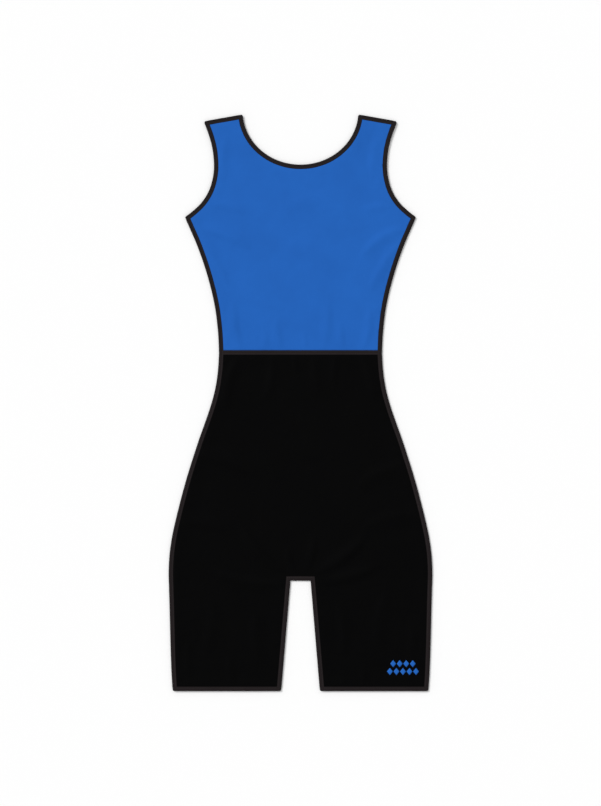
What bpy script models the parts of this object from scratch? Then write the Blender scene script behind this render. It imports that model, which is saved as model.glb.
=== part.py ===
"""Sleeveless unitard, empty and lying flat, face up: a blue bodice sewn to black mid-thigh shorts.

+X is towards the wearer's left, +Y towards the neck, and +Z up from the surface that it lies on.
Sizes are in millimetres, and heights are measured up the garment from its hem. The front lies on
the back. A narrow charcoal trim covers every edge and join: rings of binding round the openings,
which fold over where they meet a side or a shoulder, and tapes folded lengthwise over the side,
shoulder and inner-leg joins.
"""
import math
from collections import namedtuple

import bmesh
import bpy
from mathutils import Vector

MM = 0.001

# The cut, as it lies: half widths are from the centre line.
LENGTH = 900.0
NECK_HALF_WIDTH = 90.4
NECK_DEPTH = 83.4
NECK_CENTRE = 905.0
WAIST = 528.4
CROTCH_HEIGHT = 172.3
CROTCH_HALF_WIDTH = 15.8
LEG_GAP_HALF_WIDTH = 30.3

CutRow = namedtuple("CutRow", "height half_width")

SIDE = (
    CutRow(0.0, 199.5),
    CutRow(42.1, 201.9),
    CutRow(142.0, 204.5),
    CutRow(192.0, 205.6),
    CutRow(229.5, 202.3),
    CutRow(266.9, 194.7),
    CutRow(329.4, 178.4),
    CutRow(391.8, 158.6),
    CutRow(441.8, 141.1),
    CutRow(479.3, 131.6),
    CutRow(528.4, 127.2),
    CutRow(591.7, 132.2),
    CutRow(641.6, 143.2),
    CutRow(691.6, 159.7),
    CutRow(739.7, 180.4),
)

ARMHOLE = (
    CutRow(739.7, 180.4),
    CutRow(747.7, 169.8),
    CutRow(760.2, 156.3),
    CutRow(772.7, 147.2),
    CutRow(785.2, 141.1),
    CutRow(803.9, 136.3),
    CutRow(819.6, 135.0),
    CutRow(841.4, 136.6),
    CutRow(860.2, 140.7),
    CutRow(872.6, 144.8),
    CutRow(889.2, 151.0),
)

SHOULDER_TIP = Vector((ARMHOLE[-1].half_width, ARMHOLE[-1].height))

# Thickness of the panels and of the doubled trims, and the gap left between neighbours. The two
# layers of a folded trim lie one gap apart, which gives the outer radius of its fold.
CLOTH = 1.1
TRIM = 1.6
TRIM_WIDTH = 6.4
GAP = 0.3
FOLD = TRIM + GAP / 2
PANEL_INSET = TRIM_WIDTH + GAP

# Undersides and tops above the surface. The front panels' edges are level with the middle of the
# front trims, and between them the cloth dips onto the back.
BACK_TRIM_Z = (0.0, TRIM)
FRONT_TRIM_Z = (TRIM + GAP, 2 * TRIM + GAP)
FRONT_PANEL_Z = (sum(FRONT_TRIM_Z) - CLOTH) / 2
FRONT_DIP = 0.7
DIP_REACH = 24.0

# Steps along each run of the outline, round a fold, and across each half panel.
NECK_STEPS = 14
ARMHOLE_STEPS = 16
BODICE_SIDE_STEPS = 10
SHORTS_SIDE_STEPS = 20
INNER_LEG_STEPS = 6
FOLD_STEPS = 6
PANEL_COLUMNS = 6

Knit = namedtuple("Knit", "name colour roughness")

BODICE_KNIT = Knit("royal_blue_knit", (0.0194, 0.1248, 0.4851), 0.75)
SHORTS_KNIT = Knit("black_knit", (0.0020, 0.0020, 0.0022), 0.70)
TRIM_KNIT = Knit("charcoal_knit", (0.0168, 0.0137, 0.0144), 0.80)


# ---- The outline of the wearer's left half, from the neck round to the crotch ----

def slope(rows, k):
    """How fast a table's half width changes with height at row k."""
    low = rows[max(k - 1, 0)]
    high = rows[min(k + 1, len(rows) - 1)]
    return (high.half_width - low.half_width) / (high.height - low.height)


def half_width(rows, height):
    """The half width at a height, on a smooth curve through a table's rows."""
    last = len(rows) - 2
    k = next((i for i in range(last) if height < rows[i + 1].height), last)
    low, high = rows[k], rows[k + 1]
    span = high.height - low.height
    t = (height - low.height) / span
    rise = (2 * t**3 - 3 * t**2 + 1) * low.half_width + (3 * t**2 - 2 * t**3) * high.half_width
    bend = (t**3 - 2 * t**2 + t) * slope(rows, k) + (t**3 - t**2) * slope(rows, k + 1)
    return rise + bend * span


def curve(rows, start, end, steps):
    """Points evenly spaced along a table's curve, between two heights."""
    fine = 40 * steps
    heights = [start + (end - start) * i / fine for i in range(fine + 1)]
    points = [Vector((half_width(rows, h), h)) for h in heights]
    walked = [0.0]
    for a, b in zip(points, points[1:]):
        walked.append(walked[-1] + (b - a).length)
    targets = [walked[-1] * i / steps for i in range(steps)]
    chosen = [next(p for p, w in zip(points, walked) if w >= t) for t in targets]
    return chosen + [points[-1]]


def line(start, end, steps):
    """Points evenly spaced from start to end."""
    return [start.lerp(end, i / steps) for i in range(steps + 1)]


def neck_curve():
    """The neck opening, an ellipse, from its lowest point up to the shoulder."""
    top = math.acos((NECK_CENTRE - LENGTH) / NECK_DEPTH)
    angles = [top * i / NECK_STEPS for i in range(NECK_STEPS + 1)]
    return [
        Vector((NECK_HALF_WIDTH * math.sin(a), NECK_CENTRE - NECK_DEPTH * math.cos(a)))
        for a in angles
    ]


def inner_leg_curve():
    """Up the inner leg from the hem, then across the flat crotch to the centre line."""
    hem = Vector((LEG_GAP_HALF_WIDTH, 0.0))
    corner = Vector((CROTCH_HALF_WIDTH, CROTCH_HEIGHT))
    return line(hem, corner, INNER_LEG_STEPS) + [Vector((0.0, CROTCH_HEIGHT))]


def waist_edge(side):
    """The height at which a panel ends at the waist seam, on the side of it given by +1 or -1."""
    return WAIST + side * (TRIM_WIDTH / 2 + GAP)


RUNS = {
    "neck": neck_curve(),
    "shoulder": [neck_curve()[-1], SHOULDER_TIP],
    "armhole": curve(ARMHOLE, SHOULDER_TIP.y, ARMHOLE[0].height, ARMHOLE_STEPS),
    "bodice_side": curve(SIDE, ARMHOLE[0].height, waist_edge(1), BODICE_SIDE_STEPS),
    "waist": curve(SIDE, waist_edge(1), waist_edge(-1), 1),
    "shorts_side": curve(SIDE, waist_edge(-1), 0.0, SHORTS_SIDE_STEPS),
    "hem": [Vector((SIDE[0].half_width, 0.0)), Vector((LEG_GAP_HALF_WIDTH, 0.0))],
    "inner_leg": inner_leg_curve(),
}


def normal(a, b):
    """The unit step from the edge a to b into the cloth, which is on the right of it."""
    along = (b - a).normalized()
    return Vector((along.y, -along.x))


def flipped(point):
    """A plan point's mirror image across the centre line."""
    return Vector((-point.x, point.y))


def inward_steps():
    """For each run, the step at each point that moves its edges 1 mm into the cloth."""
    outline = [point for run in RUNS.values() for point in run[:-1]] + [RUNS["inner_leg"][-1]]
    before = [flipped(outline[1])] + outline[:-1]
    after = outline[1:] + [flipped(outline[-2])]
    steps = []
    for a, b, c in zip(before, outline, after):
        first, second = normal(a, b), normal(b, c)
        steps.append((first + second) / (1 + first.dot(second)))
    runs = {}
    start = 0
    for name, run in RUNS.items():
        runs[name] = steps[start:start + len(run)]
        start += len(run) - 1
    return runs


INWARD = inward_steps()


def inset(name, distance):
    """A run of the outline moved into the cloth."""
    return [point + step * distance for point, step in zip(RUNS[name], INWARD[name])]


def by_corner(first, second, from_first, from_second):
    """The plan point at the corner of two runs that lies at the given distance from each."""
    a = normal(*RUNS[first][-2:])
    b = normal(*RUNS[second][:2])
    step = Vector((from_first * b.y - from_second * a.y, from_second * a.x - from_first * b.x))
    return RUNS[second][0] + step / (a.x * b.y - a.y * b.x)


def strip_edge(before, run, after, distance):
    """One edge of the binding along a run, at a distance from the opening. At each end it has a
    point where the fold begins and one on the fold's crest."""
    return [
        by_corner(before, run, 0.0, distance),
        by_corner(before, run, FOLD, distance),
        *inset(run, distance)[1:-1],
        by_corner(run, after, distance, FOLD),
        by_corner(run, after, distance, 0.0),
    ]


# ---- Meshes ----

def place(point, z):
    """A plan point and a height above the surface, as a place in metres."""
    return Vector((point.x, point.y - LENGTH / 2, z)) * MM


def cloth_material(knit):
    """The material of one of the cloths."""
    material = bpy.data.materials.new(knit.name)
    material.use_nodes = True
    shader = material.node_tree.nodes["Principled BSDF"]
    shader.inputs["Base Color"].default_value = (*knit.colour, 1.0)
    shader.inputs["Roughness"].default_value = knit.roughness
    shader.inputs["Metallic"].default_value = 0.0
    return material


def add_object(name, bm, material):
    """Turns a bmesh into a named object of one material."""
    mesh = bpy.data.meshes.new(name)
    bm.to_mesh(mesh)
    bm.free()
    mesh.materials.append(material)
    made = bpy.data.objects.new(name, mesh)
    bpy.context.scene.collection.objects.link(made)
    return made


def loft(name, sections, material, closed):
    """A solid through sections of equal size, capped at both ends or closed into a ring."""
    bm = bmesh.new()
    rings = [[bm.verts.new(point) for point in section] for section in sections]
    following = rings[1:] + rings[:1] if closed else rings[1:]
    for ring, after in zip(rings, following):
        for k in range(len(ring)):
            bm.faces.new((ring[k - 1], ring[k], after[k], after[k - 1]))
    if not closed:
        bm.faces.new(rings[0])
        bm.faces.new(rings[-1])
    bmesh.ops.recalc_face_normals(bm, faces=bm.faces)
    add_object(name, bm, material)


def front_underside(point, edges):
    """How high the front cloth's underside lies at a plan point, from its distance to the panel's
    edges."""
    nearest = math.inf
    for a, b in edges:
        along = b - a
        t = max(0.0, min(1.0, (point - a).dot(along) / along.length_squared))
        nearest = min(nearest, (a + along * t - point).length)
    t = min(1.0, nearest / DIP_REACH)
    return FRONT_PANEL_Z - FRONT_DIP * t * t * (3 - 2 * t)


def panel(name, inner, outer, material, is_front):
    """A panel with a row from each point of its inner edge to one of its outer edge, both from the
    bottom up, mirrored across the centre line. The back lies flat, and the front dips onto it."""
    outline = outer + inner[::-1]
    edges = [(a, b) for a, b in zip(outline, outline[1:] + outline[:1]) if max(a.x, b.x) > GAP]
    bm = bmesh.new()
    rows = []
    for start, end in zip(inner, outer):
        points = line(start, end, PANEL_COLUMNS)
        heights = [front_underside(p, edges) if is_front else 0.0 for p in points]
        rows.append([bm.verts.new(place(p, z)) for p, z in zip(points, heights)])
    for low, high in zip(rows, rows[1:]):
        for k in range(PANEL_COLUMNS):
            bm.faces.new((low[k], low[k + 1], high[k + 1], high[k]))
    made = add_object(name, bm, material)
    mirror = made.modifiers.new("Mirror", "MIRROR")
    mirror.merge_threshold = 0.0001
    wall = made.modifiers.new("Wall", "SOLIDIFY")
    wall.thickness = CLOTH * MM
    wall.offset = 1.0


def ring(name, opening, far, material):
    """Binding round an opening: a flat strip along the front between two edges, folded over at its
    end and at its start, and the same strip along the back. Each edge starts and ends on the crest
    of a fold."""
    def section(edges, crest, angle):
        corners = []
        for k, radius in ((0, FOLD), (1, FOLD), (1, FOLD - TRIM), (0, FOLD - TRIM)):
            point = edges[k].lerp(crest[k], math.sin(angle) * radius / FOLD)
            corners.append(place(point, FOLD + math.cos(angle) * radius))
        return corners

    def fold(edges, crest):
        return [section(edges, crest, math.pi * k / FOLD_STEPS) for k in range(1, FOLD_STEPS)]

    start_crest, *flat, end_crest = zip(opening, far)
    front = [section(edges, edges, 0.0) for edges in flat]
    back = [section(edges, edges, math.pi) for edges in flat[::-1]]
    over_end = fold(flat[-1], end_crest)
    over_start = fold(flat[0], start_crest)[::-1]
    loft(name, front + over_end + back + over_start, material, closed=True)


def tape(name, edge, inner, material):
    """A tape folded lengthwise over an edge, from the front round to the back."""
    around = [math.pi * k / FOLD_STEPS for k in range(FOLD_STEPS + 1)]
    profile = [(TRIM_WIDTH, FRONT_TRIM_Z[1])]
    profile += [(FOLD - FOLD * math.sin(a), FOLD + FOLD * math.cos(a)) for a in around]
    profile += [
        (TRIM_WIDTH, BACK_TRIM_Z[0]),
        (TRIM_WIDTH, BACK_TRIM_Z[1]),
        (FOLD, BACK_TRIM_Z[1]),
        (FOLD, FRONT_TRIM_Z[0]),
        (TRIM_WIDTH, FRONT_TRIM_Z[0]),
    ]
    sections = [
        [place(outside.lerp(inside, depth / TRIM_WIDTH), z) for depth, z in profile]
        for outside, inside in zip(edge, inner)
    ]
    loft(name, sections, material, closed=False)


# ---- The pieces ----

def bodice(blue):
    """Front and back, from the waist seam to the neck, armholes and shoulders."""
    outer = inset("bodice_side", PANEL_INSET)[::-1] + inset("armhole", PANEL_INSET)[-2::-1]
    outer[0].y = waist_edge(1)
    neck = inset("neck", PANEL_INSET)
    centre = line(Vector((0.0, waist_edge(1))), neck[0], len(outer) - len(neck))
    inner = centre[:-1] + neck
    panel("bodice_front", inner, outer, blue, is_front=True)
    panel("bodice_back", inner, outer, blue, is_front=False)


def shorts(black):
    """Front and back, from both hems and the crotch up to the waist seam."""
    outer = inset("shorts_side", PANEL_INSET)[::-1]
    outer[-1].y = waist_edge(-1)
    leg = inset("inner_leg", PANEL_INSET)
    centre = line(leg[-1], Vector((0.0, waist_edge(-1))), len(outer) - len(leg))
    inner = leg + centre[1:]
    panel("shorts_front", inner, outer, black, is_front=True)
    panel("shorts_back", inner, outer, black, is_front=False)


def neck_binding(charcoal):
    """One ring round the neck, folded over at both shoulders."""
    edges = []
    for distance in (0.0, TRIM_WIDTH):
        half = inset("neck", distance)[:-1]
        half.append(by_corner("neck", "shoulder", distance, FOLD))
        half.append(by_corner("neck", "shoulder", distance, 0.0))
        edges.append([flipped(p) for p in half[:0:-1]] + half)
    ring("neck_binding", *edges, charcoal)


def for_each_side(make, name, edges, material):
    """Makes the wearer's left piece from its two edges, and the right one as its mirror image."""
    make(f"{name}_left", *edges, material)
    make(f"{name}_right", *([flipped(p) for p in edge] for edge in edges), material)


def armhole_bindings(charcoal):
    """A ring round each armhole, folded over at the shoulder and at the underarm."""
    runs = ("shoulder", "armhole", "bodice_side")
    edges = [strip_edge(*runs, distance) for distance in (0.0, TRIM_WIDTH)]
    for_each_side(ring, "armhole_binding", edges, charcoal)


def leg_hems(charcoal):
    """A ring round each leg opening, folded over at the side and at the inner leg."""
    runs = ("shorts_side", "hem", "inner_leg")
    edges = [strip_edge(*runs, distance) for distance in (0.0, TRIM_WIDTH)]
    for_each_side(ring, "leg_hem", edges, charcoal)


def shoulder_seams(charcoal):
    """A folded tape over each shoulder join, between the neck and armhole bindings."""
    edge, inner = (
        [
            by_corner("neck", "shoulder", PANEL_INSET, depth),
            by_corner("shoulder", "armhole", depth, PANEL_INSET),
        ]
        for depth in (0.0, TRIM_WIDTH)
    )
    for_each_side(tape, "shoulder_seam", (edge, inner), charcoal)


def side_seams(charcoal):
    """A folded tape over each side join, from the armhole binding down to the hem's."""
    edge, inner = (
        [
            by_corner("armhole", "bodice_side", PANEL_INSET, depth),
            *inset("bodice_side", depth)[1:],
            *inset("shorts_side", depth)[:-1],
            by_corner("shorts_side", "hem", depth, PANEL_INSET),
        ]
        for depth in (0.0, TRIM_WIDTH)
    )
    for_each_side(tape, "side_seam", (edge, inner), charcoal)


def inseam(charcoal):
    """One folded tape up an inner leg, across the crotch and down the other."""
    edge, inner = (
        [by_corner("hem", "inner_leg", PANEL_INSET, depth), *inset("inner_leg", depth)[1:]]
        for depth in (0.0, TRIM_WIDTH)
    )
    tape(
        "inseam",
        edge + [flipped(p) for p in edge[-2::-1]],
        inner + [flipped(p) for p in inner[-2::-1]],
        charcoal,
    )


def waist_seams(charcoal):
    """A flat tape over the waist join, on the front and on the back, between the side tapes."""
    end = half_width(SIDE, WAIST) - PANEL_INSET
    low, high = WAIST - TRIM_WIDTH / 2, WAIST + TRIM_WIDTH / 2
    for name, (under, over) in (("front", FRONT_TRIM_Z), ("back", BACK_TRIM_Z)):
        profile = ((low, under), (high, under), (high, over), (low, over))
        sections = [[place(Vector((x, y)), z) for y, z in profile] for x in (-end, end)]
        loft(f"waist_seam_{name}", sections, charcoal, closed=False)


def build():
    """Clears the scene and makes every piece."""
    for old in list(bpy.data.objects):
        bpy.data.objects.remove(old)
    bodice(cloth_material(BODICE_KNIT))
    shorts(cloth_material(SHORTS_KNIT))
    charcoal = cloth_material(TRIM_KNIT)
    neck_binding(charcoal)
    armhole_bindings(charcoal)
    shoulder_seams(charcoal)
    side_seams(charcoal)
    waist_seams(charcoal)
    inseam(charcoal)
    leg_hems(charcoal)


build()
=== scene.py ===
"""A sleeveless unitard, empty and laid flat, face up: a royal-blue bodice sewn to black shorts.

+X is towards the wearer's left, +Y towards the neck, and +Z up from the surface. Sizes are metres,
and MM turns millimetres into them.
"""
import math
from collections import namedtuple

import bmesh
import bpy
from mathutils import Matrix, Vector, kdtree, noise
from mathutils.bvhtree import BVHTree


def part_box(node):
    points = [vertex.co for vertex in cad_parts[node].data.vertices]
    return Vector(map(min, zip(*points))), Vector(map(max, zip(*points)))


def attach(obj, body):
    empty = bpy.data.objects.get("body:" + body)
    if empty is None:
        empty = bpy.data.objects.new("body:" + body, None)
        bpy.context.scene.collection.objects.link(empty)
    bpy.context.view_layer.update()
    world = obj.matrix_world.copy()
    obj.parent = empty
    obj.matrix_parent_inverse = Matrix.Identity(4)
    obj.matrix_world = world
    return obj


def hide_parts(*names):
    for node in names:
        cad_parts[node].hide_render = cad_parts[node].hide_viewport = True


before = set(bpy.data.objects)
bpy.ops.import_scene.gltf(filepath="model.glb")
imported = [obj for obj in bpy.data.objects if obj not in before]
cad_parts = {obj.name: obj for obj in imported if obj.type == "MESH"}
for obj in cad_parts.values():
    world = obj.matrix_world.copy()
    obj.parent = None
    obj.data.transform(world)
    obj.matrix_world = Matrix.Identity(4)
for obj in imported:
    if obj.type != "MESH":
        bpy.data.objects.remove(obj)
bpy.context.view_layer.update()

MM = 0.001


# ---- Bodice ----
# The front and the back are each cut in one, straps and all, from a royal-blue stretch knit. The
# back lies flat on the surface. The front lies on it, between trims that are a little thicker, and
# both were smoothed out by hand, which leaves low, soft creases.

# The grid that the cloth is drawn in, and how near a cut has to pass a point to go through it.
STEP = 3.0 * MM
SNAP = 0.3 * MM
# The distance within which two points or levels are one, the turn that makes a corner, and the
# steps in which the curve between two points is worked out.
SAME = 0.01 * MM
CORNER = math.radians(25)
CURVE_STEPS = 16
# The cloth's wall, how far its edges go into the trims, and the levels of the trims' two layers.
CLOTH = 1.0 * MM
TUCK = 0.9 * MM
FRONT_LEVEL = sum(corner.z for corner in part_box("waist_seam_front")) / 2
BACK_LEVEL = 0.8 * MM
# How far the front dips between the trims and sinks at its very edge, and over what distances.
DIP = 0.65 * MM
DIP_REACH = 24 * MM
SINK = 0.2 * MM
SINK_REACH = 2.5 * MM
# How far the back rises at its edge to meet the trims, and its share of the creases.
SEAM_RISE = 0.45 * MM
BACK_SHARE = 0.5
# The puckers along the seams, and how far in they are highest and the back's rise ends.
PUCKER = 0.3 * MM
PUCKER_SIZE = 9 * MM
SEAM_REACH = 6 * MM


def runs(node):
    """The plan outline of a node's flat top, anticlockwise, as runs between its corners. The first
    run starts at the corner that is furthest up and towards the wearer's left."""
    solid = bmesh.new()
    solid.from_mesh(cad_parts[node].data)
    bmesh.ops.remove_doubles(solid, verts=solid.verts, dist=SAME)
    top_z = max(v.co.z for v in solid.verts)
    top = [f for f in solid.faces if f.calc_center_median().z > top_z - SAME]
    outline = bmesh.ops.dissolve_faces(solid, faces=top)["region"][0]
    points = [v.co.xy for v in outline.verts]
    solid.free()
    following = points[1:] + points[:1]
    turns = [(b - a).angle(c - b) for a, b, c in zip(points[-1:] + points, points, following)]
    corners = [k for k, turn in enumerate(turns) if turn > CORNER]
    first = max(corners, key=lambda k: points[k].x + points[k].y)
    points = points[first:] + points[:first + 1]
    corners = sorted((k - first) % len(turns) for k in corners) + [len(turns)]
    return [points[a:b + 1] for a, b in zip(corners, corners[1:])]


def walked(points):
    """The distance from the first point to each one, along the line through them."""
    far = [0.0]
    for a, b in zip(points, points[1:]):
        far.append(far[-1] + (b - a).length)
    return far


def spaced(points, count):
    """The line through the points, redrawn with count + 1 points at even distances."""
    far = walked(points)
    even = []
    k = 0
    for step in range(count):
        target = far[-1] * step / count
        while far[k + 1] < target:
            k += 1
        even.append(points[k].lerp(points[k + 1], (target - far[k]) / (far[k + 1] - far[k])))
    return even + [points[-1]]


def smooth(run, count=None):
    """A run redrawn as the smooth curve through its points, in count steps or steps of about
    STEP."""
    fine = []
    for a, b, c, d in zip(run[:1] + run, run, run[1:], run[2:] + run[-1:]):
        long = (c - b).length
        leave = (c - a) * long / (long + (b - a).length)
        arrive = (d - b) * long / (long + (d - c).length)
        for t in (k / CURVE_STEPS for k in range(CURVE_STEPS)):
            ends = b * (2 * t**3 - 3 * t**2 + 1) + c * (3 * t**2 - 2 * t**3)
            fine.append(ends + leave * (t**3 - 2 * t**2 + t) + arrive * (t**3 - t**2))
    fine.append(run[-1])
    return spaced(fine, count or math.ceil(walked(fine)[-1] / STEP))


Crease = namedtuple("Crease", "start end bow height width")

# Plan places, bows, heights and widths in millimetres.
CREASES = (
    # From the underarms, where the sides were pulled straight.
    Crease((163, 276), (92, 226), 6, 1.7, 10),
    Crease((158, 252), (104, 168), 5, 1.3, 9),
    Crease((-160, 272), (-78, 238), -7, 1.8, 11),
    Crease((-154, 246), (-112, 178), -4, 1.0, 8),
    Crease((139, 306), (96, 300), 3, 1.0, 8),
    Crease((-140, 309), (-84, 296), -4, 0.9, 9),
    # Across the chest and down the straps.
    Crease((62, 318), (-34, 300), 9, 0.8, 15),
    Crease((-22, 246), (74, 204), -8, 0.9, 17),
    Crease((-96, 190), (-30, 148), 7, 0.9, 13),
    Crease((120, 416), (112, 352), 3, 0.9, 9),
    Crease((-114, 424), (-121, 362), 3, 0.8, 8),
    # Up from the waist seam.
    Crease((98, 82), (108, 150), 4, 1.3, 8),
    Crease((69, 82), (62, 126), -2, 0.9, 6),
    Crease((34, 82), (42, 162), 4, 1.0, 9),
    Crease((8, 82), (4, 112), 1, 0.7, 5),
    Crease((-29, 82), (-37, 134), -3, 1.0, 8),
    Crease((-58, 82), (-54, 114), 2, 0.7, 6),
    Crease((-92, 82), (-104, 156), -5, 1.4, 9),
    # Down from it.
    Crease((92, 75), (112, 4), -6, 1.7, 10),
    Crease((57, 75), (52, 26), 3, 1.0, 7),
    Crease((21, 75), (30, 12), 3, 1.0, 9),
    Crease((-12, 75), (-9, 44), -1, 0.8, 6),
    Crease((-45, 75), (-56, 2), -4, 1.3, 9),
    Crease((-96, 75), (-118, -10), 6, 1.8, 11),
    # Over the hips.
    Crease((172, -96), (84, -136), 8, 1.4, 15),
    Crease((-168, -82), (-60, -118), -9, 1.6, 16),
    Crease((188, -176), (96, -196), 7, 1.2, 14),
    Crease((-190, -188), (-118, -196), -5, 1.0, 13),
    Crease((-24, -60), (40, -84), 6, 0.9, 18),
    # Fanning out from the crotch.
    Crease((24, -266), (104, -206), 7, 2.2, 11),
    Crease((26, -280), (128, -252), 6, 1.7, 10),
    Crease((-24, -265), (-92, -192), -8, 2.1, 11),
    Crease((-27, -282), (-138, -262), -7, 1.8, 11),
    Crease((9, -262), (22, -204), 3, 1.2, 8),
    Crease((-11, -262), (-20, -222), -2, 1.0, 7),
    # Down the legs to the hems.
    Crease((58, -310), (66, -398), -4, 1.3, 10),
    Crease((132, -296), (124, -386), 6, 1.4, 13),
    Crease((172, -330), (168, -438), -3, 1.2, 10),
    Crease((96, -410), (101, -441), 1, 0.9, 7),
    Crease((-70, -322), (-62, -412), 5, 1.3, 11),
    Crease((-142, -300), (-150, -398), -6, 1.4, 13),
    Crease((-112, -394), (-107, -441), 2, 1.2, 8),
    Crease((-176, -366), (-173, -441), 2, 0.9, 8),
)


# A ridge's width on its steep and its gentle side and how much narrower it is at its ends, all as
# shares of its own width, and how strong the troughs beside it are.
STEEP = 0.75
GENTLE = 1.2
TAPER = 0.4
TROUGH = 0.45
# How far all the cloth sways up besides its creases, how much that changes, and over what
# distances, in millimetres.
SWAY = 0.25
SWAY_CHANGE = 0.35
SWAY_ACROSS = 70
SWAY_UP = 90


def crease_height(crease, place):
    """How far one crease lifts the cloth: a bowed ridge, steeper on one side, with a shallow
    trough beside it, that dies away towards its ends."""
    along = Vector(crease.end) - Vector(crease.start)
    offset = place - Vector(crease.start)
    t = offset.dot(along) / along.length_squared
    if not 0 < t < 1:
        return 0.0
    fade = 4 * t * (1 - t)
    side = offset.cross(along) / along.length - crease.bow * fade
    width = crease.width * (STEEP if side > 0 else GENTLE) * (1 - TAPER + TAPER * fade)
    across = side / width
    return crease.height * fade * (1 - TROUGH * across**2) * math.exp(-across**2)


def lift(point):
    """How far the creases lift the front layer at a point."""
    place = point.xy / MM
    spot = Vector((place.x / SWAY_ACROSS, place.y / SWAY_UP, 0.0))
    sway = SWAY + SWAY_CHANGE * noise.noise(spot)
    return max(0.0, sway + sum(crease_height(crease, place) for crease in CREASES)) * MM


def ease(t):
    """A smooth step from 0 to 1."""
    t = min(1.0, max(0.0, t))
    return t * t * (3 - 2 * t)


def panel_sheet(panel, is_front):
    """One layer of a panel: its outline with the edges tucked into the trims, in a fine grid, laid
    at its height, dipped between the trims and creased. The flat back gives the outline of both
    layers."""
    outline = [point for run in runs(f"{panel}_back") for point in smooth(run)[:-1]]
    tucked = []
    for a, b, c in zip(outline[-1:] + outline, outline, outline[1:] + outline[:1]):
        before, after = (b - a).normalized(), (c - b).normalized()
        out = Vector((before.y + after.y, -before.x - after.x))
        tucked.append(b + out * TUCK / (1 + before.dot(after)))
    cloth = bmesh.new()
    cloth.faces.new([cloth.verts.new((*point, 0.0)) for point in tucked])
    for axis in range(2):
        across = Vector((0.0, 0.0, 0.0))
        across[axis] = 1.0
        low, high = min(p[axis] for p in tucked), max(p[axis] for p in tucked)
        for k in range(math.ceil(low / STEP), math.ceil(high / STEP)):
            everything = cloth.verts[:] + cloth.edges[:] + cloth.faces[:]
            bmesh.ops.bisect_plane(
                cloth, geom=everything, dist=SNAP, plane_co=across * k * STEP, plane_no=across
            )
    flat_area = sum(face.calc_area() for face in cloth.faces)
    edge = kdtree.KDTree(len(outline))
    for k, point in enumerate(outline):
        edge.insert((*point, 0.0), k)
    edge.balance()
    for vert in cloth.verts:
        inside = edge.find(vert.co)[2]
        near = inside / SEAM_REACH
        # The third coordinate gives the two layers different puckers.
        wave = noise.noise(Vector((vert.co.x / PUCKER_SIZE, vert.co.y / PUCKER_SIZE, is_front)))
        pucker = PUCKER * wave * near * math.exp(1 - near)
        if is_front:
            sunk = SINK * math.exp(-inside / SINK_REACH) + DIP * ease(inside / DIP_REACH)
            vert.co.z = FRONT_LEVEL - sunk + lift(vert.co) + pucker
        else:
            vert.co.z = CLOTH / 2 + SEAM_RISE * (1 - ease(near)) + lift(vert.co) * BACK_SHARE
            vert.co.z += abs(pucker)
    return cloth, flat_area


# The steps of a soft edge, and the turn between two faces that gets one.
SOFT_STEPS = 3
SOFT_ANGLE = math.radians(50)


def make(name, cloth, material, wall, nodes, soft=0.0):
    """Turns a sheet into a piece of cloth, with a wall and with soft edges where they are given,
    in place of its CAD nodes."""
    for face in cloth.faces:
        face.smooth = True
    mesh = bpy.data.meshes.new(name)
    cloth.to_mesh(mesh)
    cloth.free()
    mesh.materials.append(material)
    piece = bpy.data.objects.new(name, mesh)
    bpy.context.scene.collection.objects.link(piece)
    if wall:
        thicken = piece.modifiers.new("Wall", "SOLIDIFY")
        thicken.thickness = wall
        thicken.offset = 0.0
    if soft:
        soften = piece.modifiers.new("Soft edge", "BEVEL")
        soften.width = soft
        soften.segments = SOFT_STEPS
        soften.limit_method = "ANGLE"
        soften.angle_limit = SOFT_ANGLE
        soften.use_clamp_overlap = False
    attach(piece, "root")
    if nodes:
        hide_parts(*nodes)


class Tone:
    """A value in a material. Python's operators on it add the Math nodes that work it out."""

    def __init__(self, look, socket):
        self.look = look
        self.socket = socket

    def math(self, operation, *values):
        numbered = dict(enumerate(values))
        return self.look.node("ShaderNodeMath", {"operation": operation}, numbered)["Value"]

    def __add__(self, other):
        return self.math("ADD", self, other)

    def __sub__(self, other):
        return self.math("SUBTRACT", self, other)

    def __rsub__(self, other):
        return self.math("SUBTRACT", other, self)

    def __mul__(self, other):
        return self.math("MULTIPLY", self, other)

    def __truediv__(self, other):
        return self.math("DIVIDE", self, other)

    def __abs__(self):
        return self.math("ABSOLUTE", self)

    def __pow__(self, other):
        return self.math("POWER", self, other)

    __radd__ = __add__
    __rmul__ = __mul__

    def part(self):
        """What is left of it past the whole number below."""
        return self.math("FRACT", self)

    def sine(self):
        return self.math("SINE", self)


class Look:
    """A cloth's material."""

    def __init__(self, name):
        self.material = bpy.data.materials.new(name)
        self.material.use_nodes = True
        self.tree = self.material.node_tree
        self.tree.nodes.clear()

    def node(self, kind, settings, values):
        """Adds a node, and returns its outputs by name."""
        made = self.tree.nodes.new(kind)
        for name, value in settings.items():
            setattr(made, name, value)
        sockets = {socket.name: socket for socket in made.inputs if socket.enabled}
        sockets.update(enumerate(made.inputs))
        for name, value in values.items():
            if isinstance(value, Tone):
                self.tree.links.new(value.socket, sockets[name])
            else:
                sockets[name].default_value = value
        return {socket.name: Tone(self, socket) for socket in made.outputs if socket.enabled}


# A loop's height as a share of its width, how far its two legs slope as a share of its height, and
# its share of the relief, the rest of which is its column's.
LOOP_HEIGHT = 0.8
LEG_SLOPE = 0.5
LOOP_SHARE = 0.45
# The sizes of the fuzz, of the uneven surface and of the changes of tone.
FUZZ = 0.25 * MM
RIPPLE = 11 * MM
CLOUD = 55 * MM
# How far loops, fuzz and clouds each take the colour from dark to light, and where it starts. The
# loops' share is painted shade: darker in the grooves between the loops, lighter on their crests.
# The fuzz and clouds are the cloth's own uneven tone.
LOOP_PAINTED_SHADE = 0.5
FUZZ_TONE = 0.25
CLOUD_TONE = 0.7
FIRST_TONE = -0.28
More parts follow.
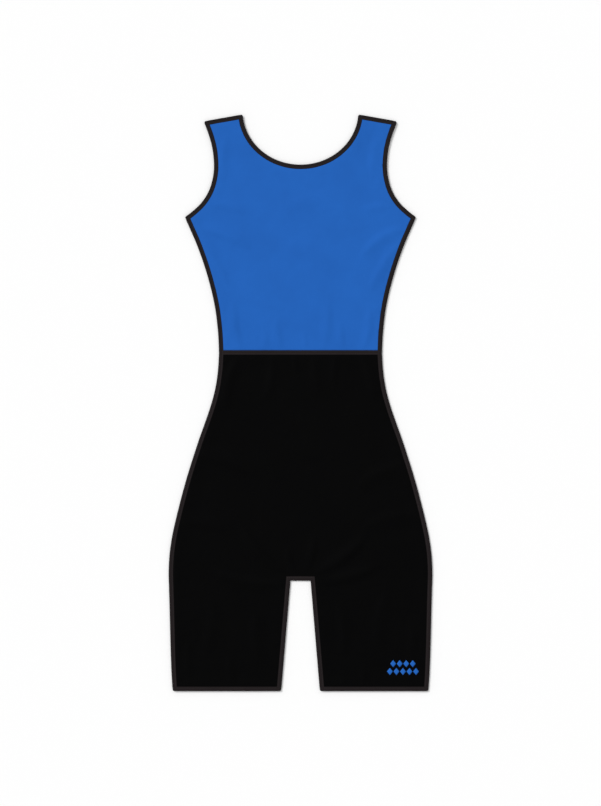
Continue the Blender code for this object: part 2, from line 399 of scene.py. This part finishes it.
# How much clouds and loops change the roughness.
CLOUD_ROUGHNESS = 0.08
LOOP_ROUGHNESS = 0.05
SHEEN_ROUGHNESS = 0.45
# The relief: its strength, its depth as a share of a loop's width, and the fuzz's and the uneven
# surface's heights against a loop's.
RELIEF = 0.6
RELIEF_DEPTH = 0.2
FUZZ_HEIGHT = 0.4
RIPPLE_HEIGHT = 4.0


def knit_look(name, dark, light, roughness, gloss, sheen, wale, on_panel):
    """A fine stretch knit: rows of small V-shaped loops in columns, a wale wide each, with soft
    changes of tone and painted shade in the grooves between the loops. On a panel the columns run
    up the garment, and on a trim they run along it."""
    look = Look(name)
    spots = look.node("ShaderNodeTexCoord", {}, {})
    where = spots["Object"] if on_panel else spots["UV"]
    flat = look.node("ShaderNodeSeparateXYZ", {}, {"Vector": where})
    leg = abs((flat["X"] / wale).part() - 0.5) * 2
    loop = ((flat["Y"] / (LOOP_HEIGHT * wale) + leg * LEG_SLOPE).part() * math.pi).sine()
    knit = loop * LOOP_SHARE + (1 - leg ** 3) * (1 - LOOP_SHARE)
    fuzz = look.node("ShaderNodeTexNoise", {}, {
        "Vector": spots["Object"], "Scale": 1 / FUZZ, "Detail": 2.0, "Roughness": 0.6,
    })["Fac"]
    ripple = look.node("ShaderNodeTexNoise", {}, {
        "Vector": spots["Object"], "Scale": 1 / RIPPLE, "Detail": 1.0, "Distortion": 0.3,
    })["Fac"]
    cloud = look.node("ShaderNodeTexNoise", {}, {
        "Vector": spots["Object"], "Scale": 1 / CLOUD, "Detail": 3.0, "Roughness": 0.55,
    })["Fac"]
    # The loops' part of the colour is painted shade: darker in the grooves between them, lighter on
    # their crests.
    colour = look.node("ShaderNodeMix", {"data_type": "RGBA"}, {
        "Factor": knit * LOOP_PAINTED_SHADE + fuzz * FUZZ_TONE + cloud * CLOUD_TONE + FIRST_TONE,
        "A": (*dark, 1.0),
        "B": (*light, 1.0),
    })["Result"]
    bump = look.node("ShaderNodeBump", {}, {
        "Strength": RELIEF,
        "Distance": RELIEF_DEPTH * wale,
        "Height": knit + fuzz * FUZZ_HEIGHT + ripple * RIPPLE_HEIGHT,
    })["Normal"]
    surface = look.node("ShaderNodeBsdfPrincipled", {}, {
        "Base Color": colour,
        "Roughness": (cloud - 0.5) * CLOUD_ROUGHNESS - knit * LOOP_ROUGHNESS + roughness,
        "Normal": bump,
        "Specular IOR Level": gloss,
        "Sheen Weight": sheen,
        "Sheen Roughness": SHEEN_ROUGHNESS,
    })["BSDF"]
    look.node("ShaderNodeOutputMaterial", {}, {"Surface": surface})
    return look.material


blue_knit = knit_look(
    "blue_knit", dark=(0.0118, 0.0950, 0.3900), light=(0.0172, 0.1310, 0.5130),
    roughness=0.66, gloss=0.055, sheen=0.02, wale=0.6 * MM, on_panel=True
)
cut_area = {}
for layer in ("back", "front"):
    sheet, cut_area[f"blue_{layer}"] = panel_sheet("bodice", layer == "front")
    make(f"blue_{layer}", sheet, blue_knit, CLOTH, [f"bodice_{layer}"])


# ---- Shorts ----
# The front and the back are each cut in one from a black stretch knit, from the waist down to both
# hems. They lie as the bodice does, with creases fanning out from the crotch and down the legs.

black_knit = knit_look(
    "black_knit", dark=(0.0005, 0.0005, 0.0006), light=(0.0014, 0.0014, 0.0015),
    roughness=0.68, gloss=0.03, sheen=0.0, wale=0.6 * MM, on_panel=True
)
for layer in ("back", "front"):
    sheet, cut_area[f"black_{layer}"] = panel_sheet("shorts", layer == "front")
    make(f"black_{layer}", sheet, black_knit, CLOTH, [f"shorts_{layer}"])


# ---- Waist tapes ----
# The bodice and the shorts are joined edge to edge, and a flat charcoal tape covers the join on the
# front and on the back. Two rows of thread hold it, a little way in from its edges.

TRIM_WALL = 1.3 * MM
TRIM_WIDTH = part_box("waist_seam_front")[1].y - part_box("waist_seam_front")[0].y
TRIM_COLUMNS = 8
SOFT = 0.3 * MM
# How far a trim lies over the cloth beside it, beyond its CAD edge.
COVER = 0.6 * MM
# The rows of thread, the grooves that they draw in, the thread's radius, how far its middle rises
# above the cloth and dips into it, and the length of a stitch.
TWIN_ROWS = (0.25 * TRIM_WIDTH, 0.75 * TRIM_WIDTH)
GROOVE = 0.13 * MM
GROOVE_REACH = 0.75 * MM
THREAD = 0.2 * MM
THREAD_SIDES = 6
THREAD_RISE = 0.04 * MM
THREAD_DIP = 0.3 * MM
STITCH = 3.1 * MM
STITCH_STEPS = 5
# The level halfway between the trims' two layers.
MIDDLE_LEVEL = (FRONT_LEVEL + BACK_LEVEL) / 2


def lengthen(chain, by):
    """A chain of points made longer at both ends."""
    start = chain[0] + (chain[0] - chain[1]).normalized() * by
    end = chain[-1] + (chain[-1] - chain[-2]).normalized() * by
    return [start] + chain[1:-1] + [end]


def widened(edge, other, by):
    """An edge of a strip moved away from its other edge, to lie over the cloth beside it."""
    return [a + (a - b).normalized() * by for a, b in zip(edge, other)]


def side_by_side(edge, other):
    """The chains of points from one edge of a strip to the other, a column apart."""
    shares = [k / TRIM_COLUMNS for k in range(TRIM_COLUMNS + 1)]
    return [[a.lerp(b, share) for a, b in zip(edge, other)] for share in shares]


def skin(chains, closed):
    """A strip of cloth through neighbouring chains of points, with a UV map in metres: across the
    chains, and along the first of them."""
    cloth = bmesh.new()
    rails = [[cloth.verts.new(point) for point in chain] for chain in chains]
    across = walked([chain[0] for chain in chains])
    along = walked(chains[0] + chains[0][:1])
    place = {}
    for u, rail in zip(across, rails):
        place.update((vert, (u, v)) for vert, v in zip(rail, along))
    lines = []
    for rail in rails:
        following = rail[1:] + rail[:1] if closed else rail[1:]
        lines.append([cloth.edges.new(pair) for pair in zip(rail, following)])
    for line, after in zip(lines, lines[1:]):
        bmesh.ops.bridge_loops(cloth, edges=line + after)
    uv = cloth.loops.layers.uv.new("Cloth")
    for face in cloth.faces:
        # Where a ring closes, its first points are also its last, at its full length.
        far = max(place[vert][1] for vert in face.verts)
        for loop in face.loops:
            u, v = place[loop.vert]
            loop[uv].uv = (u, v if far - v < along[-1] / 2 else along[-1])
    bmesh.ops.recalc_face_normals(cloth, faces=cloth.faces)
    return cloth


def laid(point):
    """Where a point of a trim comes to lie in the garment's creases. The back layer takes only a
    share of them."""
    height = min(1.0, max(0.0, (point.z - BACK_LEVEL) / (FRONT_LEVEL - BACK_LEVEL)))
    rise = lift(point) * (BACK_SHARE + (1 - BACK_SHARE) * height)
    return point + Vector((0.0, 0.0, rise))


def press(cloth, rows):
    """Turns a strip's outer face outwards, sinks it along its rows of thread, and lays it in the
    creases."""
    top = max(cloth.faces, key=lambda face: face.calc_center_median().z)
    if top.normal.z * (top.calc_center_median().z - MIDDLE_LEVEL) < 0:
        bmesh.ops.reverse_faces(cloth, faces=cloth.faces)
    uv = cloth.loops.layers.uv["Cloth"]
    cloth.normal_update()
    for vert in cloth.verts:
        u = vert.link_loops[0][uv].uv.x
        sunk = sum(math.exp(-((u - row) / GROOVE_REACH) ** 2) for row in rows)
        vert.co = laid(vert.co - vert.normal * GROOVE * sunk)
    cloth.normal_update()


def sew(name, cloth, wall, chains, rows, closed):
    """Rows of thread on the outer face of a strip of cloth, over it for most of each stitch and
    down in it between them."""
    faces = BVHTree.FromBMesh(cloth)
    far = walked([chain[0] for chain in chains])
    thread = bmesh.new()
    for row in rows:
        # The row runs between the chains k and k + 1.
        k = max(n for n in range(len(chains) - 1) if far[n] <= row)
        part = (row - far[k]) / (far[k + 1] - far[k])
        line = [laid(a.lerp(b, part)) for a, b in zip(chains[k], chains[k + 1])]
        line += line[:1] if closed else []
        line = spaced(line, STITCH_STEPS * round(walked(line)[-1] / STITCH))
        sides = [[] for _ in range(THREAD_SIDES)]
        for n in range(len(line) - closed):
            spot, out, _, _ = faces.find_nearest(line[n])
            over = (line[(n + 1) % len(line)] - line[n - 1]).cross(out).normalized()
            rise = -THREAD_DIP if n % STITCH_STEPS == 0 else THREAD_RISE
            middle = spot + out * (wall / 2 + rise)
            for side, points in enumerate(sides):
                turn = math.tau * side / THREAD_SIDES
                points.append(middle + (out * math.cos(turn) + over * math.sin(turn)) * THREAD)
        strand = skin(sides + sides[:1], closed)
        bmesh.ops.remove_doubles(strand, verts=strand.verts, dist=SAME)
        bmesh.ops.holes_fill(strand, edges=strand.edges, sides=THREAD_SIDES)
        bmesh.ops.recalc_face_normals(strand, faces=strand.faces)
        mesh = bpy.data.meshes.new("strand")
        strand.to_mesh(mesh)
        strand.free()
        thread.from_mesh(mesh)
        bpy.data.meshes.remove(mesh)
    make(name, thread, charcoal_thread_painted_sheen, 0.0, [])


def trim(node, name, chains, rows, wall, closed):
    """Makes a trim from its chains of points, with its rows of thread. A closed one is a ring."""
    strip = skin(chains, closed)
    press(strip, rows)
    sew(f"{name}_thread", strip, wall, chains, rows, closed)
    make(name, strip, charcoal_knit, wall, [node], SOFT)


charcoal_knit = knit_look(
    "charcoal_tape", dark=(0.0098, 0.0072, 0.0077), light=(0.0160, 0.0124, 0.0131),
    roughness=0.74, gloss=0.055, sheen=0.01, wale=0.5 * MM, on_panel=False
)
# The thread's colour is lighter than the tape's, which is painted sheen.
charcoal_thread_painted_sheen = knit_look(
    "charcoal_thread_painted_sheen", dark=(0.0240, 0.0205, 0.0212), light=(0.0420, 0.0370, 0.0380),
    roughness=0.50, gloss=0.055, sheen=0.0, wale=0.3 * MM, on_panel=False
)
for layer, level in (("front", FRONT_LEVEL), ("back", BACK_LEVEL)):
    high, _, low, _ = runs(f"waist_seam_{layer}")
    low, high = [lengthen(smooth(run), TUCK) for run in (low, high[::-1])]
    edges = (widened(low, high, COVER / 2), widened(high, low, COVER / 2))
    low, high = [[Vector((*point, level)) for point in edge] for edge in edges]
    chains = side_by_side(low, high)
    trim(f"waist_seam_{layer}", f"waist_tape_{layer}", chains, TWIN_ROWS, TRIM_WALL, closed=False)


# ---- Folded tapes ----
# The front and the back are joined at the shoulders, down both sides and round the inner legs. A
# tape of the same charcoal knit is folded lengthwise over each join, with a row of thread through
# its two inner edges. The inner legs' tape is one piece, turned square at the crotch.

TAPE_WALL = 1.15 * MM
# Half the thickness of a folded trim, which is its fold's outer radius, and the radius at which
# the middle of its wall goes over from one layer to the other.
FOLD = (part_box("side_seam_left")[1].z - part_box("side_seam_left")[0].z) / 2
FOLD_RADIUS = (FRONT_LEVEL - BACK_LEVEL) / 2
FOLD_STEPS = 8
FLAT_COLUMNS = 6
ROW_INSET = 1.8 * MM


def folded(edge, inner, node, name):
    """Makes a folded tape between the line where its fold begins and its inner edge."""
    flat = TRIM_WIDTH - FOLD
    profile = [(k / FLAT_COLUMNS, FRONT_LEVEL) for k in range(FLAT_COLUMNS)]
    for angle in (math.pi * k / FOLD_STEPS for k in range(FOLD_STEPS + 1)):
        over = (FOLD - TAPE_WALL / 2) * math.sin(angle) / flat
        profile.append((1 + over, MIDDLE_LEVEL + FOLD_RADIUS * math.cos(angle)))
    profile += [(k / FLAT_COLUMNS, BACK_LEVEL) for k in reversed(range(FLAT_COLUMNS))]
    inner, edge = lengthen(widened(inner, edge, COVER), TUCK), lengthen(edge, TUCK)
    chains = [
        [Vector((*(a + (b - a) * part), level)) for a, b in zip(inner, edge)]
        for part, level in profile
    ]
    across = walked([chain[0] for chain in chains])[-1]
    trim(node, name, chains, (ROW_INSET, across - ROW_INSET), TAPE_WALL, closed=False)


for side in ("left", "right"):
    upper, _, inner, _ = runs(f"shoulder_seam_{side}")
    edge = smooth(upper)
    inner = smooth(inner[::-1], len(edge) - 1)
    folded(edge, inner, f"shoulder_seam_{side}", f"shoulder_tape_{side}")
    _, first, _, second = runs(f"side_seam_{side}")
    inner, edge = (first, second) if side == "left" else (second, first)
    edge = smooth(edge)
    inner = smooth(inner[::-1], len(edge) - 1)
    folded(edge, inner, f"side_seam_{side}", f"side_tape_{side}")

crotch_in, leg_in, _, leg_out, crotch_out, other_leg_out, _, other_leg_in = runs("inseam")
square = [smooth(run) for run in (other_leg_in, crotch_in, leg_in)]
inner = square[0][:-1] + square[1][:-1] + square[2]
square = [
    smooth(run[::-1], len(match) - 1)
    for run, match in zip((other_leg_out, crotch_out, leg_out), square)
]
folded(square[0][:-1] + square[1][:-1] + square[2], inner, "inseam", "inseam_tape")


# ---- Bindings ----
# The neck, both armholes and both hems are bound with one strip each, sewn to the cloth's edge with
# two rows of thread. Each strip is a ring that lies double, and folds over where it passes round a
# shoulder, an underarm or a leg's seam, which leaves a small round corner there.

# A rounded corner's radius, how far it reaches, and the share of the wall that it allows for
# outside the wall's middle at the fold's crest.
ROUND = 3.2 * MM
ROUND_REACH = 2 * ROUND
ROUND_WALL = 0.15
# How many steps at each end of a line are drawn finer, and in how many parts each.
FINE_ENDS = 2
FINE_STEPS = 5


def fine_ends(line):
    """A line with more points towards both its ends, where corners are rounded off."""
    fine = []
    for k, (a, b) in enumerate(zip(line, line[1:])):
        steps = 1 if FINE_ENDS <= k < len(line) - 1 - FINE_ENDS else FINE_STEPS
        fine += [a.lerp(b, n / steps) for n in range(steps)]
    return fine + line[-1:]


def square_to(line, towards):
    """The direction square to a line, on the side that another direction points to."""
    square = Vector((line.y, -line.x)).normalized()
    return -square if square.dot(towards) < 0 else square


def over_fold(before, end, across):
    """A ring's edge where it goes over the fold at its end, from the front to the back."""
    ahead = (end - before).normalized()
    reach = ahead * (FOLD - TRIM_WALL / 2) / ahead.dot(square_to(across, ahead))
    angles = [math.pi * k / FOLD_STEPS for k in range(1, FOLD_STEPS)]
    return [
        Vector((*(end + reach * math.sin(a)), MIDDLE_LEVEL + FOLD_RADIUS * math.cos(a)))
        for a in angles
    ]


def doubled(edge, other):
    """One edge of a ring of binding as a closed line: along the front, over one end, back along
    the back, and over the other end. It starts in the middle of the back."""
    line = [Vector((*point, FRONT_LEVEL)) for point in edge]
    line += over_fold(edge[-2], edge[-1], other[-1] - edge[-1])
    line += [Vector((*point, BACK_LEVEL)) for point in reversed(edge)]
    line += reversed(over_fold(edge[1], edge[0], other[0] - edge[0]))
    start = len(edge) + FOLD_STEPS - 1 + len(edge) // 2
    return line[start:] + line[:start]


def round_off(chains, before, end, across):
    """Rounds a ring's corner between the edge of its opening and the fold at that edge's end. The
    cloth is drawn in along the fold, which keeps its round section."""
    ahead = (end - before).normalized()
    along_fold = -across.normalized()
    off_fold = square_to(across, ahead)
    off_edge = square_to(ahead, along_fold)
    shared = off_edge.dot(off_fold)
    corner = end + ahead * FOLD / ahead.dot(off_fold)
    centre = corner - (off_edge + off_fold) * ROUND / (1 + shared)
    for point in sum(chains, []):
        ray = point.xy - centre
        out, up = ray.dot(off_fold), ray.dot(along_fold)
        if out > ROUND * shared and up > 0 and ray.length < ROUND_REACH:
            upright = math.sqrt(max(0.0, 1 - ((point.z - MIDDLE_LEVEL) / FOLD_RADIUS) ** 2))
            wall = out + ROUND_WALL * TRIM_WALL * upright
            edge = (ROUND - out * shared) / along_fold.dot(off_edge)
            point.xy += along_fold * up * (math.sqrt(max(0.0, ROUND**2 - wall**2)) / edge - 1)


def bind(node, name, opening, far):
    """Makes a binding between the edge of its opening and its far edge, and its thread."""
    far = smooth(far)
    opening = fine_ends(smooth(opening[::-1], len(far) - 1))
    far = widened(fine_ends(far), opening, COVER)
    chains = side_by_side(doubled(opening, far), doubled(far, opening))
    round_off(chains, opening[-2], opening[-1], far[-1] - opening[-1])
    round_off(chains, opening[1], opening[0], far[0] - opening[0])
    trim(node, name, chains, TWIN_ROWS, TRIM_WALL, closed=True)


_, opening, _, far = runs("neck_binding")
bind("neck_binding", "neck_band", opening, far)
for side in ("left", "right"):
    _, first, _, second = runs(f"armhole_binding_{side}")
    opening, far = (second, first) if side == "left" else (first, second)
    bind(f"armhole_binding_{side}", f"armhole_band_{side}", opening, far)
    far, _, opening, _ = runs(f"leg_hem_{side}")
    bind(f"leg_hem_{side}", f"leg_band_{side}", opening, far)


# ---- Print ----
# Nine small diamonds in two staggered rows, heat-pressed in the bodice's blue, low on the front of
# the wearer's left leg.

PRINT_MIDDLE = Vector((159.9, -413.3)) * MM
PRINT_SIZE = Vector((49.9, 23.4)) * MM
PRINT_ROW = 5
# A diamond's width as a share of its place in the row, and its height as one of the print's.
DIAMOND_WIDTH = 0.9
DIAMOND_HEIGHT = 0.48
DIAMOND_CUTS = 3
# The film's thickness. A quarter of it is pressed into the cloth.
FILM = 0.08 * MM
# The height from which its points are dropped onto the shorts.
ABOVE = 1.0

pitch = PRINT_SIZE.x / (PRINT_ROW - 1 + DIAMOND_WIDTH)
half_width, half_height = DIAMOND_WIDTH * pitch / 2, DIAMOND_HEIGHT * PRINT_SIZE.y / 2
film = bmesh.new()
for row, count in enumerate((PRINT_ROW, PRINT_ROW - 1)):
    for k in range(count):
        middle = PRINT_MIDDLE + Vector((
            (k - (count - 1) / 2) * pitch,
            (2 * row - 1) * (PRINT_SIZE.y / 2 - half_height),
        ))
        stretch = Matrix.Diagonal((half_width, half_height, 1, 1))
        place = Matrix.Translation((*middle, 0.0)) @ stretch
        bmesh.ops.create_circle(film, cap_ends=True, segments=4, radius=1, matrix=place)
bmesh.ops.subdivide_edges(film, edges=film.edges, cuts=DIAMOND_CUTS, use_grid_fill=True)
bmesh.ops.recalc_face_normals(film, faces=film.faces)
shorts = BVHTree.FromObject(bpy.data.objects["black_front"], bpy.context.evaluated_depsgraph_get())
for vert in film.verts:
    above = Vector((*vert.co.xy, ABOVE))
    vert.co = shorts.ray_cast(above, Vector((0.0, 0.0, -1.0)))[0] + Vector((0.0, 0.0, FILM / 4))
print_film = knit_look(
    "blue_print", dark=(0.0140, 0.1080, 0.4350), light=(0.0185, 0.1350, 0.5200),
    roughness=0.50, gloss=0.055, sheen=0.0, wale=0.6 * MM, on_panel=True
)
make("leg_print", film, print_film, FILM, [])


# ---- The cut ----
# Each panel is one sheet of cloth. Its flat size is that of the piece as it was cut, less the
# allowances inside the trims, and the trims and their thread are sewn to it.

SEWN_TO = {
    "blue_front": ("neck_band", "armhole_band", "shoulder_tape", "waist_tape_front", "side_tape"),
    "blue_back": ("waist_tape_back",),
    "black_front": ("inseam_tape", "leg_band", "leg_print"),
    "black_back": (),
}
for name, trims in SEWN_TO.items():
    low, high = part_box(name.replace("blue", "bodice").replace("black", "shorts"))


# ---- The surface, the light and the camera ----
# The unitard lies on a plain near-white floor, under a soft light from above the wearer's right
# shoulder. The camera looks straight down on the middle of it.

FLOOR = 30.0
PAPER_WHITE = (0.93, 0.93, 0.93, 1.0)
PAPER_GLOSS = 0.1
PAPER_ROUGHNESS = 0.8
GRAIN_ROUGHNESS = 0.1
GRAIN_SCALE = 60.0
SKY_WHITE = (1.0, 1.0, 1.0, 1.0)
SKY_LIGHT = 0.64
KEY_LIGHT = 1.97
KEY_SPREAD = math.radians(25)
KEY_FROM = Vector((-0.62, 0.50, 0.75))
# What the picture's height takes in, and the middle of it, in metres on the garment.
VIEW_HEIGHT = 1.2582
VIEW_MIDDLE = -0.0004
LENS = 100.0
SENSOR = 36.0

floor_mesh = bmesh.new()
bmesh.ops.create_grid(floor_mesh, x_segments=1, y_segments=1, size=FLOOR / 2)
floor_data = bpy.data.meshes.new("floor")
floor_mesh.to_mesh(floor_data)
floor_mesh.free()
floor = bpy.data.objects.new("floor", floor_data)
bpy.context.scene.collection.objects.link(floor)
paper = Look("floor_paper")
grain = paper.node("ShaderNodeTexNoise", {}, {"Scale": GRAIN_SCALE, "Detail": 2.0})["Fac"]
paper.node("ShaderNodeOutputMaterial", {}, {
    "Surface": paper.node("ShaderNodeBsdfPrincipled", {}, {
        "Base Color": PAPER_WHITE,
        "Roughness": grain * GRAIN_ROUGHNESS + PAPER_ROUGHNESS,
        "Specular IOR Level": PAPER_GLOSS,
    })["BSDF"],
})
floor_data.materials.append(paper.material)

world = bpy.data.worlds.new("studio")
world.use_nodes = True
sky = world.node_tree.nodes["Background"].inputs
sky["Color"].default_value = SKY_WHITE
sky["Strength"].default_value = SKY_LIGHT
bpy.context.scene.world = world

key = bpy.data.lights.new("key", "SUN")
key.energy = KEY_LIGHT
key.angle = KEY_SPREAD
key_light = bpy.data.objects.new("key", key)
key_light.rotation_euler = KEY_FROM.to_track_quat("Z", "Y").to_euler()
bpy.context.scene.collection.objects.link(key_light)

camera_data = bpy.data.cameras.new("camera")
camera_data.lens = LENS
camera_data.sensor_width = SENSOR
camera = bpy.data.objects.new("camera", camera_data)
camera.location = (0.0, VIEW_MIDDLE, VIEW_HEIGHT * LENS / SENSOR + FOLD)
bpy.context.scene.collection.objects.link(camera)
bpy.context.scene.camera = camera
bpy.context.scene.view_settings.view_transform = "Standard"
